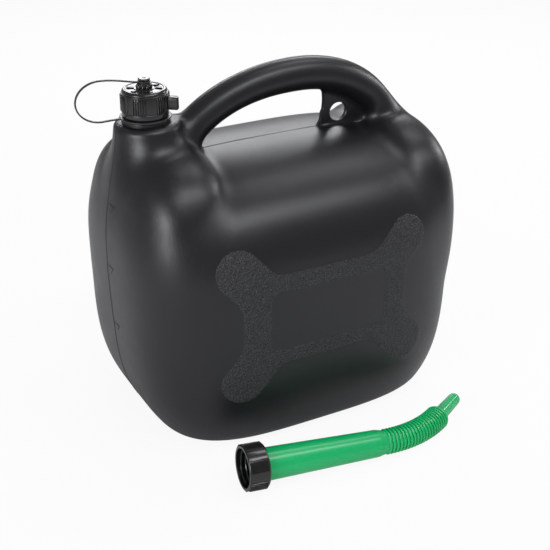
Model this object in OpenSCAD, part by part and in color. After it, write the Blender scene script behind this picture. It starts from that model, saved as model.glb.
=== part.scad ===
/* [Can] */
// Length of the can at its widest level, without the rear shoulder's swell
can_length = 286; // [270:1:300]
// Greatest depth of the can, front to back
can_depth = 208; // [180:1:230]
// Height of the whole can, to the top of its handle
can_height = 286.7; // [280:0.1:295]
// Drop from the handle's top to the can's roof
roof_drop = 60.7; // [57:0.1:64]
// Height of the widest level
belt_z = 142; // [120:1:155]
// How far below the belt the sides would close if there were no base
foot_drop = 165; // [155:1:190]
// Squareness of the plan, 2 is an ellipse
plan_power = 3.6; // [3:0.1:4.5]
// Squareness of the roof from front to back
roof_power = 2.35; // [2:0.05:3.5]
// Squareness of the sides below the belt, from front to back
foot_power = 4.4; // [3:0.1:5]
// Rounding between the sides and the flat base
base_round = 12; // [6:1:20]
// Depth that is cut off flat from the rounded bottom
base_cut = 2.5; // [2:0.5:5]
// Wall thickness of the moulded can
wall = 2.6; // [2:0.1:3.4]

/* [Shoulders] */
// Drop from the handle's top to the front shoulder
front_drop = 46.7; // [44:0.1:50]
// Half width of the front shoulder along the can
front_w = 46; // [42:1:50]
// Distance of the rear shoulder's middle from the can's rear end
rear_inset = 34; // [31:1:37]
// Drop from the handle's top to the rear shoulder
rear_drop = 55.7; // [53:0.1:59]
// Half width of the rear shoulder along the can
rear_w = 39; // [35:1:42]
// How far both shoulders stay behind the can's front and back
shoulder_inset = 19; // [14:1:28]
// Height at which both shoulders sink into the sides
shoulder_foot_z = 149; // [140:1:156]
// Squareness of both shoulders
shoulder_power = 2.6; // [2.2:0.1:3]
// Softness of the crease between shoulders and roof
crease = 5; // [4:1:14]

/* [Handle] */
// Radius of the grip
grip_r = 13.7; // [12.5:0.1:14.5]
// Distance of the crown from the can's middle
crown_x = 21.5; // [16:0.5:26]
// Distance of the arc's front foot from the can's neck end
arc_front_inset = 53.5; // [50:0.5:58]
// Distance of the arc's rear foot from the can's rear end
arc_rear_inset = 29.5; // [26:0.5:33]
// Height of the handle's arc
arc_h = 76; // [70:1:82]
// Squareness of the handle's arc
arc_power = 2.1; // [2:0.05:2.4]
// Softness of the fillets where handle and neck pillar grow from the can
fillet = 16; // [10:1:22]

/* [Web] */
// Thickness of the web in the hand gap
web_t = 4; // [3:0.5:6]
// Place of the web's free edge, from the can's middle
web_x = 43.5; // [38:0.5:46]
// Depth of the hollow in the web's free edge
web_hollow = 5; // [2:0.5:7]
// Diameter of the hole in the web
web_hole_d = 15.5; // [8:0.5:16]
// Place of the hole along the can
web_hole_x = 63; // [61:0.5:65]
// Drop from the handle's top to the hole's middle
web_hole_drop = 51.2; // [50.7:0.1:51.7]

/* [Neck] */
// Distance of the neck's axis from the can's neck end
neck_inset = 37; // [35:0.5:39]
// Drop from the handle's top to the pillar's shoulder under the neck
pillar_drop = 32; // [31:0.1:37]
// Radius of the neck pillar
pillar_r = 24.5; // [23:0.5:26]
// Radius of the collar between shoulder and neck
collar_r = 18.5; // [17.5:0.5:19]
// Height of the collar
collar_h = 3.6; // [3:0.1:8]
// Outer diameter of the neck over its thread
neck_d = 30; // [29:0.5:30.5]
// Diameter of the mouth
mouth_d = 24; // [18:0.5:25]
// Height of the neck above its collar
neck_h = 18; // [14.5:0.5:19]

/* [Cap and spout ring] */
// Outer diameter of the cap and the spout ring over their ribs
ring_d = 37.5; // [36.5:0.5:40]
// Depth of the grip ribs
rib_depth = 0.9; // [0.6:0.1:1]
// Groups of grip ribs round the cap and the ring
rib_groups = 6; // [4:1:7]
// Ribs in a group
group_ribs = 6; // [4:1:9]
// Angle from one rib to the next
rib_step = 6; // [4:0.5:8]
// Direction of the middle of the first group of ribs
rib_turn = -6; // [-10:1:0]
// Height of the smooth lip under the ribs
lip_h = 4.7; // [2:0.1:6]
// Height of the cap's step above the ribs
step_h = 2.8; // [2:0.1:5]
// Thickness of the cap's top
cap_top_t = 3; // [2.4:0.1:4]
// Thickness of the flat gaskets
gasket_t = 2; // [1:0.1:2.4]
// Height of the spout ring
ring_h = 17; // [15:0.5:20]
// Thickness of the spout ring's end wall
ring_end_t = 2.4; // [2:0.1:3]
// Room left between parts that turn or slide on each other
clearance = 0.3; // [0.2:0.05:0.4]

/* [Grip tab] */
// Direction of the cap's grip tab
tab_turn = -38; // [-42:1:-32]
// Length of the tab outwards
tab_out = 8; // [5:0.5:9]
// Thickness of the tab
tab_t = 5; // [4:0.5:6]
// Height of the tab's lower edge above the cap's
tab_up = 5.7; // [3:0.1:7]
// Height of the tab
tab_h = 9.7; // [8:0.1:12]

/* [Tether] */
// Thickness of the tether's rings and strap
tether_t = 1.2; // [1:0.1:1.8]
// Outer diameter of the tether's ring round the neck
tether_d = 39.5; // [38.5:0.5:44]
// Width of the strap
strap_w = 2; // [1.5:0.5:4]
// How far the loop reaches out from the neck's axis
loop_reach = 53; // [48:1:60]
// Rise of the loop above the eyelet
loop_rise = 3.5; // [2:0.5:8]
// Turn of the strap round the neck, from the can's long axis
strap_turn = -6; // [-15:1:15]
// How far the strap's ends reach into its rings
strap_sink = 2; // [1:0.5:2.5]
// Height of the knob on the cap, under the eyelet
knob_h = 4; // [3:0.5:5]
// Diameter of the knob
knob_d = 13; // [11:0.5:14]
// Diameter of the button's shank
shank_d = 5; // [4:0.5:6]
// Diameter of the button's head and of the eyelet under it
head_d = 10; // [9:0.5:12]
// Thickness of the button's head
head_t = 1.6; // [1.4:0.1:3]

/* [Spout] */
// Length from the ring's mouth to the bellows
tube_end = 119; // [100:1:130]
// Diameter of the tube at the ring
tube_d1 = 25.6; // [24:0.2:26.4]
// Diameter of the tube at the bellows
tube_d2 = 21.4; // [20:0.2:23]
// Wall thickness of the spout
spout_wall = 1.5; // [1.2:0.1:2]
// Thickness of the flange that the ring holds
flange_t = 2; // [1.5:0.1:3]
// Rings of the bellows
bellows_n = 21; // [16:1:26]
// Distance from one bellows ring to the next
bellows_pitch = 3; // [2.6:0.1:3.6]
// Outer diameter of the bellows
bellows_d = 20.6; // [19.6:0.2:22]
// Depth of the grooves between the bellows rings
groove = 1.3; // [0.8:0.1:1.8]
// Angle through which the bellows is bent
bend = 37; // [10:1:45]
// Length of the nozzle
nozzle_len = 36; // [24:1:42]
// Diameter of the nozzle at the bellows
nozzle_d1 = 12; // [11:0.5:14]
// Diameter of the nozzle at its tip
nozzle_d2 = 10.6; // [9:0.2:11]
// Distance of the spout's mouth from the can's neck end, along the can
spout_inset = 46.5; // [33:0.5:63]
// Distance of the spout's mouth in front of the can
spout_gap = 34; // [30:0.5:46]
// Direction of the spout on the floor
spout_turn = -7; // [-15:1:0]

/* [Hidden] */
$fn = 72;
black = [0.09, 0.09, 0.1];
grey = [0.3, 0.3, 0.32];
green = [0.05, 0.62, 0.3];

// The can's skin is laid out in sections fanned round the middle of the hand gap
gap_x = 12;
gap_up = 14;
outer_sections = 84;
outer_points = 19;
inner_sections = 56;
inner_points = 13;
outline_step = 3;
search_from = can_length;
search_step = 3;
// Step in radius by which joined bores cross instead of only touching
bite = 0.2;

can_top_z = can_height - roof_drop;
gap_z = can_top_z + gap_up;
front_x = front_w - can_length / 2;
front_top_z = can_height - front_drop;
rear_x = can_length / 2 - rear_inset;
rear_top_z = can_height - rear_drop;
shoulder_y = can_depth / 2 - shoulder_inset;
crown_z = can_height - grip_r;
arc_front = can_length / 2 - arc_front_inset + crown_x;
arc_rear = can_length / 2 - arc_rear_inset - crown_x;
web_hole_z = can_height - web_hole_drop;
neck_x = neck_inset - can_length / 2;
pillar_z = can_height - pillar_drop;
spout_x = spout_inset - can_length / 2;
spout_y = -can_depth / 2 - spout_gap;
collar_z = pillar_z + collar_h;
tether_z = collar_z + clearance;
cap_z = tether_z + tether_t + clearance;
neck_top_z = collar_z + neck_h;
cap_top_z = neck_top_z + gasket_t + cap_top_t;
eyelet_z = cap_top_z + knob_h + clearance;
bore_d = neck_d + 2 * clearance;
skirt_r = ring_d / 2 - rib_depth;
bellows_len = bellows_n * bellows_pitch;
bend_r = bellows_len / (bend * PI / 180);
spout_tilt = atan((ring_d - bellows_d) / 2 / (tube_end + bend_r * sin(bend) - ring_h));

// Smaller of two distances, with a rounded join of size k
function blend(p, q, k) = min(p, q) - pow(max(k - abs(p - q), 0) / k, 2) * k / 4;

// Rounded box of the can, smaller by w on every side
function tank(x, y, z, w) =
    let (up = z > belt_z,
         rise = abs(z - belt_z) / ((up ? can_top_z - belt_z : foot_drop) - w),
         power = up ? roof_power : foot_power,
         across = pow(pow(abs(y) / (can_depth / 2 - w), power) + pow(rise, power), 1 / power),
         along = abs(x) / (can_length / 2 - w))
    (pow(pow(along, plan_power) + pow(across, plan_power), 1 / plan_power) - 1)
        * (can_depth / 2 - w);

// Rounded shoulder at one end of the can
function shoulder(x, y, z, w, mid_x, half_w, top_z) =
    let (along = abs(x - mid_x) / (half_w - w),
         across = abs(y) / (shoulder_y - w),
         rise = abs(z - shoulder_foot_z) / (top_z - shoulder_foot_z - w),
         sum = pow(along, shoulder_power) + pow(across, shoulder_power)
               + pow(rise, shoulder_power))
    (pow(sum, 1 / shoulder_power) - 1) * (half_w - w);

// Round pillar under the neck
function pillar(x, y, z, w) =
    max(-blend(pillar_r - w - norm([x - neck_x, y]), pillar_z - w - z, 5), shoulder_foot_z - z);

// Share of the handle's arc that a point of the side view has reached
function arc_reach(dx, dz) =
    pow(pow(abs(dx) / (dx > 0 ? arc_rear : arc_front), arc_power)
        + pow(max(dz, 0) / arc_h, arc_power), 1 / arc_power);

// Round grip bent along the handle's arc
function grip(x, y, z, w) =
    let (dx = x - crown_x,
         dz = z - crown_z + arc_h,
         off = norm([dx, dz]) * (1 - 1 / max(arc_reach(dx, dz), 0.01)))
    max(norm([off, y]) - grip_r + w, -dz);

// Height of the grip's axis at a place along the can
function grip_axis_z(x) =
    let (share = pow(abs(x - crown_x) / (x > crown_x ? arc_rear : arc_front), arc_power))
    crown_z - arc_h + arc_h * pow(max(1 - share, 0), 1 / arc_power);

// Distance from the skin of the whole moulding
function skin(x, y, z, w) =
    let (front = shoulder(x, y, z, w, front_x, front_w, front_top_z),
         rear = shoulder(x, y, z, w, rear_x, rear_w, rear_top_z),
         can = blend(blend(tank(x, y, z, w), front, crease), rear, crease),
         body = blend(can, pillar(x, y, z, w), fillet))
    -blend(-blend(body, grip(x, y, z, w), 0.6 * fillet), z + base_cut - w, base_round);

// Place where f turns from positive at p to negative at q
function root(f, p, q, n = 16) =
    n == 0 ? (p + q) / 2
    : let (mid = (p + q) / 2) f(mid) > 0 ? root(f, mid, q, n - 1) : root(f, p, mid, n - 1);

function first_inside(f, start, step) = f(start) < 0 ? start : first_inside(f, start + step, step);

function ray(angle, w) =
    function (r) skin(gap_x + r * cos(angle), 0, gap_z + r * sin(angle), w);

function near_edge(angle, w) =
    let (f = ray(angle, w), hit = first_inside(f, 0, search_step)) root(f, hit - search_step, hit);

function far_edge(angle, w) =
    let (f = ray(angle, w), hit = first_inside(f, search_from, -search_step))
    root(f, hit + search_step, hit);

// Half depth of the skin at a point of the side view
function half_depth(x, z, w) = root(function (y) skin(x, y, z, w), can_depth / 2 + 2, 0);

// Angles of the sections, which share the can's outline evenly
outline = [for (a = [0:outline_step:360]) let (r = far_edge(a, 0)) r * [cos(a), sin(a)]];
way = [for (i = 0, s = 0; i < len(outline);
            i = i + 1, s = s + (i < len(outline) ? norm(outline[i] - outline[i - 1]) : 0)) s];
way_table = [for (i = [0:len(way) - 1]) [way[i], i * outline_step]];
function fan(count) = [for (i = [0:count - 1]) lookup(i * way[len(way) - 1] / count, way_table)];

// One closed section of the skin, from the hand gap out and back
function section(angle, n, w) =
    let (r1 = near_edge(angle, w),
         r2 = far_edge(angle, w),
         side = [for (j = [0:n]) let (r = r1 + (r2 - r1) * (1 - cos(180 * j / n)) / 2,
                                      x = gap_x + r * cos(angle),
                                      z = gap_z + r * sin(angle))
                 [x, j == 0 || j == n ? 0 : half_depth(x, z, w), z]])
    [for (j = [0:2 * n - 1]) j <= n ? [side[j][0], -side[j][1], side[j][2]] : side[2 * n - j]];

module moulded_skin(count, n, w) {
    loop_size = 2 * n;
    points = [for (angle = fan(count)) each section(angle, n, w)];
    faces = [for (i = [0:count - 1], j = [0:loop_size - 1])
             let (this = i * loop_size,
                  next = (i + 1) % count * loop_size,
                  k = (j + 1) % loop_size)
             each [[this + j, next + k, this + k], [this + j, next + j, next + k]]];
    difference() {
        polyhedron(points = points, faces = faces, convexity = 8);
        translate([-can_length, -can_depth, w - base_round])
        cube([2 * can_length, 2 * can_depth, base_round]);
    }
}

// Collar and neck, a turned profile on the pillar
module neck_form() {
    translate([neck_x, 0, 0])
    rotate_extrude()
    polygon([[0, pillar_z - wall], [collar_r, pillar_z - wall], [collar_r, collar_z],
             [neck_d / 2, collar_z], [neck_d / 2, neck_top_z - 0.6],
             [neck_d / 2 - 0.6, neck_top_z], [0, neck_top_z]]);
}

// Pinch-off web with its hollow free edge, up to the middle of the grip
module web_form() {
    low = can_top_z - wall;
    high = grip_axis_z(web_x);
    right = crown_x + 0.85 * arc_rear;
    edge = [for (t = [0:0.1:1]) [web_x + web_hollow * sin(180 * t), low + (high - low) * t]];
    top = [for (t = [0.1:0.1:1]) let (x = web_x + (right - web_x) * t) [x, grip_axis_z(x)]];
    rotate([90, 0, 0])
    linear_extrude(height = web_t, center = true)
    polygon(concat(edge, top, [[right, low]]));
}

// The can is moulded in one piece with its handle, web, collar and neck
module canister() {
    color(black)
    difference() {
        union() {
            moulded_skin(outer_sections, outer_points, 0);
            neck_form();
            web_form();
        }
        moulded_skin(inner_sections, inner_points, wall);
        translate([neck_x, 0, pillar_z - 4 * wall])
        cylinder(d = mouth_d, h = neck_top_z - pillar_z + 5 * wall);
        translate([web_hole_x, 0, web_hole_z])
        rotate([90, 0, 0]) cylinder(d = web_hole_d, h = 4 * web_t, center = true);
    }
}

// Grip ribs in groups, with smooth stretches between the groups
module grip_ribs(z, h) {
    for (g = [0:rib_groups - 1], i = [0:group_ribs - 1])
        rotate([0, 0, rib_turn + 360 * g / rib_groups + (i - (group_ribs - 1) / 2) * rib_step])
        translate([skirt_r, 0, z + h / 2])
        cube([2 * rib_depth, skirt_r * rib_step * PI / 360, h], center = true);
}

module cap_form() {
    h = cap_top_z - cap_z;
    rotate_extrude()
    polygon([[bore_d / 2, 0], [skirt_r - 0.9, 0], [skirt_r, 0.9], [skirt_r, h - step_h],
             [skirt_r - 0.7, h - step_h], [skirt_r - 0.7, h - 1.4], [skirt_r - 2, h], [0, h],
             [0, h - cap_top_t], [bore_d / 2, h - cap_top_t]]);
    grip_ribs(lip_h, h - step_h - lip_h - rib_depth);
    rotate([0, 0, tab_turn])
    translate([skirt_r - 0.5, -tab_t / 2, tab_up])
    cube([tab_out + 0.5, tab_t, tab_h]);
    translate([0, 0, h]) cylinder(d = knob_d, h = knob_h);
}

module screw_cap() {
    color(black)
    translate([neck_x, 0, cap_z])
    difference() {
        cap_form();
        translate([0, 0, cap_top_z - cap_z - cap_top_t + 1])
        cylinder(d = shank_d + 2 * clearance, h = cap_top_t + knob_h);
    }
}

// Flat ring, one of the two gaskets
module flat_ring(d, bore, t) {
    difference() {
        cylinder(d = d, h = t);
        translate([0, 0, -1]) cylinder(d = bore, h = t + 2);
    }
}

module cap_gasket() {
    color(grey)
    translate([neck_x, 0, neck_top_z]) flat_ring(neck_d, mouth_d, gasket_t);
}

// Line of the strap in the side view, from the eyelet round to the neck ring
loop_h = (eyelet_z + tether_t + loop_rise - tether_z) / 2;
loop_w = 1.2 * loop_h;
loop_mid = -loop_reach + loop_w;
loop_z = tether_z + loop_h;
strap_in = shank_d / 2 + strap_sink;
function strap_line(t) =
    t < 0.3
    ? let (s = t / 0.3) [-strap_in + (loop_mid + strap_in) * s,
                         eyelet_z + tether_t / 2
                         + (loop_z + loop_h - eyelet_z - tether_t / 2) * pow(sin(90 * s), 1.3)]
    : t < 0.8
    ? let (a = 90 + 180 * (t - 0.3) / 0.5) [loop_mid + loop_w * cos(a),
                                             loop_z + loop_h * sin(a)]
    : let (s = (t - 0.8) / 0.2) [loop_mid - (loop_mid + tether_d / 2 - strap_sink) * s,
                                 tether_z + tether_t / 2 * sin(90 * s)];
function strap_side(t, side) =
    let (d = strap_line(min(t + 0.01, 1)) - strap_line(max(t - 0.01, 0)),
         n = [-d[1], d[0]] / norm(d))
    strap_line(t) + n * side * tether_t / 2;
strap_steps = [0:0.025:1.0001];

// Neck ring, strap and eyelet, moulded in one piece
module tether() {
    color(grey)
    translate([neck_x, 0, 0]) {
        difference() {
            union() {
                translate([0, 0, tether_z]) cylinder(d = tether_d, h = tether_t);
                translate([0, 0, eyelet_z]) cylinder(d = head_d, h = tether_t);
                rotate([90, 0, strap_turn])
                linear_extrude(height = strap_w, center = true)
                polygon(concat([for (t = strap_steps) strap_side(t, 1)],
                               [for (t = strap_steps) strap_side(1 - t, -1)]));
            }
            translate([0, 0, tether_z - tether_t]) cylinder(d = bore_d, h = 3 * tether_t);
            translate([0, 0, eyelet_z - tether_t])
            cylinder(d = shank_d + 2 * clearance, h = 4 * tether_t);
        }
    }
}

// Snap button that holds the eyelet on the cap
module tether_button() {
    low = cap_top_z - cap_top_t + 1 + clearance;
    head = eyelet_z + tether_t + clearance;
    color(black)
    translate([neck_x, 0, 0])
    rotate_extrude()
    polygon([[0, low], [shank_d / 2 - 0.5, low], [shank_d / 2, low + 0.5], [shank_d / 2, head],
             [head_d / 2, head], [head_d / 2, head + head_t - 1], [head_d / 2 - 1, head + head_t],
             [0, head + head_t]]);
}

// Puts an upright form along the axis of the spout on the floor
module along_spout() {
    translate([spout_x, spout_y, ring_d / 2 * cos(spout_tilt) + ring_h * sin(spout_tilt)])
    rotate([0, 90 + spout_tilt, spout_turn]) children();
}

// Puts a form on the bent axis of the bellows, at an angle of the bend
module on_bend(angle) {
    translate([0, bend_r * (1 - cos(angle)), tube_end + bend_r * sin(angle)])
    rotate([-angle, 0, 0]) children();
}

// Bar round the bent axis, through pairs of place along the axis and radius
module bent_bar(profile) {
    sides = 20;
    points = [for (p = profile)
              let (s = min(max(p[0], 0), bellows_len),
                   a = bend * s / bellows_len,
                   y = bend_r * (1 - cos(a)) + (p[0] - s) * sin(a),
                   z = tube_end + bend_r * sin(a) + (p[0] - s) * cos(a))
              for (k = [0:sides - 1])
              let (side = p[1] * sin(360 * k / sides))
              [p[1] * cos(360 * k / sides), y + side * cos(a), z - side * sin(a)]];
    last = sides * (len(profile) - 1);
    walls = [for (i = [0:len(profile) - 2], k = [0:sides - 1])
             let (this = i * sides + k,
                  next = i * sides + (k + 1) % sides)
             each [[this, next + sides, next], [this, this + sides, next + sides]]];
    start = [for (k = [0:sides - 1]) k];
    end = [for (k = [sides - 1:-1:0]) last + k];
    polyhedron(points = points, faces = concat([start], walls, [end]), convexity = 6);
}

seat_z = ring_h - ring_end_t - clearance;

module spout_outside() {
    rotate_extrude()
    polygon([[0, seat_z - flange_t], [bore_d / 2 - clearance, seat_z - flange_t],
             [bore_d / 2 - clearance, seat_z], [tube_d1 / 2, seat_z],
             [tube_d1 / 2, ring_h + 2], [tube_d2 / 2, tube_end - 3],
             [bellows_d / 2 - groove / 2, tube_end], [0, tube_end]]);
    low_r = bellows_d / 2 - groove;
    bent_bar([[-1, low_r],
              for (i = [0:bellows_n - 1], step = [[0.1, 0], [0.34, 1], [0.66, 1], [0.9, 0]])
              [(i + step[0]) * bellows_pitch, low_r + step[1] * groove],
              [bellows_len + 1, low_r]]);
    on_bend(bend)
    rotate_extrude()
    polygon([[0, -1], [bellows_d / 2 - groove / 2, -1], [bellows_d / 2 - groove / 2, 0],
             [nozzle_d1 / 2 + 1, 2.5], [nozzle_d1 / 2, 3], [nozzle_d2 / 2, nozzle_len],
             [0, nozzle_len]]);
}

module spout_bore() {
    thin = bellows_d / 2 - groove - spout_wall;
    rotate_extrude()
    polygon([[0, 0], [tube_d1 / 2 - spout_wall, 0], [tube_d1 / 2 - spout_wall, ring_h + 2],
             [tube_d2 / 2 - spout_wall, tube_end - 4], [thin - bite, tube_end],
             [0, tube_end]]);
    bent_bar([for (t = [0:0.1:1.01]) [-0.5 + (bellows_len + 1) * t, thin]]);
    on_bend(bend)
    rotate_extrude()
    polygon([[0, -0.5], [thin - bite, -0.5], [nozzle_d1 / 2 - spout_wall, 1.5],
             [nozzle_d2 / 2 - spout_wall, nozzle_len - 3],
             [nozzle_d2 / 2 - spout_wall, nozzle_len + 1], [0, nozzle_len + 1]]);
}

// Flange, tube, bellows and nozzle, blown in one piece
module pour_spout() {
    color(green)
    along_spout()
    difference() {
        spout_outside();
        spout_bore();
    }
}

module spout_gasket() {
    color(grey)
    along_spout()
    translate([0, 0, seat_z - flange_t - gasket_t])
    flat_ring(neck_d, tube_d1, gasket_t);
}

module ring_form() {
    rotate_extrude()
    polygon([[bore_d / 2, 0], [skirt_r - 0.6, 0], [skirt_r, 0.6], [skirt_r, ring_h - 1.2],
             [skirt_r - 1.2, ring_h], [tube_d1 / 2 + clearance, ring_h],
             [tube_d1 / 2 + clearance, ring_h - ring_end_t], [bore_d / 2, ring_h - ring_end_t]]);
    grip_ribs(rib_depth, ring_h - 3 * rib_depth);
}

module spout_ring() {
    color(black) along_spout() ring_form();
}

canister();
screw_cap();
cap_gasket();
tether();
tether_button();
pour_spout();
spout_gasket();
spout_ring();
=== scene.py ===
import math
import bmesh
import bpy
import numpy as np
from mathutils import Matrix, Vector


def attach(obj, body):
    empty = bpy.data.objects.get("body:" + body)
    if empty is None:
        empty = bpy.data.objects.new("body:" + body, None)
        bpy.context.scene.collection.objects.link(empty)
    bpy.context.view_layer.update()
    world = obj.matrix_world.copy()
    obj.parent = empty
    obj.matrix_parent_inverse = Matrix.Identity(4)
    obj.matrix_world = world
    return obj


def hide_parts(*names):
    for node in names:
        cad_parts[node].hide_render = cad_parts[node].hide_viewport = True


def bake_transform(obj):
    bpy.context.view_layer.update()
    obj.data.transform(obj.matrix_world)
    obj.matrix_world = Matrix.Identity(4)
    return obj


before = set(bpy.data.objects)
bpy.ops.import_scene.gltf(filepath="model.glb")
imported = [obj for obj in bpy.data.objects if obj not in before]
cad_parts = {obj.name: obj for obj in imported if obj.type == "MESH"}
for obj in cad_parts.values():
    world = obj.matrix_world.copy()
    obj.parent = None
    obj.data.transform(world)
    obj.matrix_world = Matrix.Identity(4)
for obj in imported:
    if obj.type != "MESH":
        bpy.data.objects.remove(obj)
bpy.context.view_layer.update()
print("frame loaded")
mm = 0.001
perMetre = 1000.0    # millimetres

# the camera stands where the photograph's stood; lengths in millimetres
shot = {
    "turn": 28.016,
    "lift": 26.649,
    "away": 975.63,
    "target": (0.0, 0.0, 111.8),
    "lens": 75.0,
    "sensor": 36.0,
    "shift": (0.0098, -0.0262),
}


def placeCamera():
    turn, lift = math.radians(shot["turn"]), math.radians(shot["lift"])
    ahead = Vector((math.sin(turn) * math.cos(lift), math.cos(turn) * math.cos(lift),
                    -math.sin(lift)))
    lens = bpy.data.cameras.new("camera")
    lens.lens = shot["lens"]
    lens.sensor_width = shot["sensor"]
    lens.shift_x, lens.shift_y = shot["shift"]
    lens.clip_start = 0.01
    camera = bpy.data.objects.new("camera", lens)
    bpy.context.scene.collection.objects.link(camera)
    camera.location = (Vector(shot["target"]) - ahead * shot["away"]) * mm
    camera.rotation_euler = ahead.to_track_quat("-Z", "Y").to_euler()
    bpy.context.scene.camera = camera


placeCamera()


class Wire:
    # an output of a node, with arithmetic that adds Math nodes
    def __init__(self, graph, socket):
        self.graph, self.socket = graph, socket

    def maths(self, operation, *values):
        return self.graph.add("ShaderNodeMath", {"operation": operation}, values)

    def __add__(self, other): return self.maths("ADD", self, other)
    def __radd__(self, other): return self.maths("ADD", other, self)
    def __sub__(self, other): return self.maths("SUBTRACT", self, other)
    def __rsub__(self, other): return self.maths("SUBTRACT", other, self)
    def __mul__(self, other): return self.maths("MULTIPLY", self, other)
    def __rmul__(self, other): return self.maths("MULTIPLY", other, self)
    def __truediv__(self, other): return self.maths("DIVIDE", self, other)
    def __neg__(self): return self.maths("MULTIPLY", self, -1.0)
    def size(self): return self.maths("ABSOLUTE", self)
    def floor(self): return self.maths("FLOOR", self)
    def root(self): return self.maths("SQRT", self)
    def most(self, other): return self.maths("MAXIMUM", self, other)
    def least(self, other): return self.maths("MINIMUM", self, other)
    def softLeast(self, other, span): return self.maths("SMOOTH_MIN", self, other, span)

    def step(self, low, high, first=0.0, last=1.0):
        # first below low, last above high, and a smooth change between
        return self.graph.add("ShaderNodeMapRange", {"interpolation_type": "SMOOTHSTEP"},
                              {"Value": self, "From Min": low, "From Max": high,
                               "To Min": first, "To Max": last})


class Graph:
    # builds a node tree of shaders or of geometry
    def __init__(self, tree):
        self.tree = tree

    def add(self, kind, settings=None, values=(), output=0):
        node = self.tree.nodes.new(kind)
        for name, value in (settings or {}).items():
            setattr(node, name, value)
        pairs = values.items() if isinstance(values, dict) else enumerate(values)
        for name, value in pairs:
            if isinstance(value, Wire):
                self.tree.links.new(value.socket, node.inputs[name])
            else:
                node.inputs[name].default_value = value
        return Wire(self, node.outputs[output])


class Finish(Graph):
    # a material of one Principled surface
    def __init__(self, name, fixed):
        self.material = bpy.data.materials.new(name)
        self.material.use_nodes = True
        super().__init__(self.material.node_tree)
        self.tree.nodes.clear()
        self.surface = self.tree.nodes.new("ShaderNodeBsdfPrincipled")
        out = self.tree.nodes.new("ShaderNodeOutputMaterial")
        self.tree.links.new(self.surface.outputs[0], out.inputs["Surface"])
        for socket, value in fixed.items():
            self.surface.inputs[socket].default_value = value
        self.place = self.add("ShaderNodeTexCoord", output="Object")

    def axes(self):
        # the three numbers of a place on the piece, in millimetres
        split = self.add("ShaderNodeSeparateXYZ", {}, [self.place])
        return [Wire(self, output) * perMetre for output in split.socket.node.outputs]

    def noise(self, size, stretch=(1.0, 1.0, 1.0), detail=2.0, rough=0.5):
        # size is the length of a patch in millimetres
        where = self.add("ShaderNodeMapping", {}, {
            "Vector": self.place, "Scale": tuple(perMetre / (size * s) for s in stretch)})
        return self.add("ShaderNodeTexNoise", {}, {"Vector": where, "Detail": detail,
                                                   "Roughness": rough})

    def tint(self, share, first, second):
        return self.add("ShaderNodeMix", {"data_type": "RGBA"},
                        {0: share, 6: (*first, 1.0), 7: (*second, 1.0)}, 2)

    def bump(self, height, distance, strength=1.0, under=None):
        values = {"Height": height, "Distance": distance * mm, "Strength": strength}
        if under:
            values["Normal"] = under
        return self.add("ShaderNodeBump", {}, values)

    def link(self, **wires):
        for socket, wire in wires.items():
            self.tree.links.new(wire.socket, self.surface.inputs[socket.replace("_", " ")])
        return self.material


grain = {
    "window": (-2.0, 115.8, 50.9, 24.7, 7.0),   # middle x, z, half sizes, corner
    "frame": (-3.5, 117.0, 72.0, 38.5, 10.0),
    # each lobe runs from a corner of the frame outwards: x and z at both ends, radius
    "lobes": ((48.0, 142.0, 70.0, 161.0, 17.0), (-58.0, 140.0, -77.0, 161.0, 18.0),
              (52.0, 90.0, 72.0, 66.0, 18.0), (-56.0, 92.0, -75.0, 68.0, 18.0)),
    "lobeJoin": 8.0,
    "reach": 60.0,      # the grain lies only this far from the middle, on the two broad sides
    "fade": (-0.4, 0.6),    # distance from the field's edge over which the grain comes up
    "pebble": 2.1,          # width of a pebble, then the height and the softness of the pebbles
    "pebbleRise": 0.55,
    "pebbleSoft": 0.35,
    # the flecks are painted highlight: lighter base colour stands in for glints on the pebble tops;
    # their size in millimetres, then the share of the light colour they take
    "glintSize": 1.5,
    "glintShare": 0.75,
    "extraRough": 0.24,
}

# fine upright streaks and short scuffs: sizes in millimetres and how strongly they show
streak = {"width": 1.6, "length": 70.0, "rise": 0.11, "rough": 0.16}
scuff = {"width": 1.1, "length": 30.0, "share": 0.10}
skin = {
    "dark": (0.0060, 0.0062, 0.0080),
    # the light colour serves both the painted highlight flecks and the scuffs, which are wear
    "light": (0.125, 0.128, 0.135),
    "rough": 0.24,
    "cloud": 55.0,          # size of the patches that shine more or less
    "cloudRough": 0.07,
    "seamRise": 0.15,
}


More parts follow.
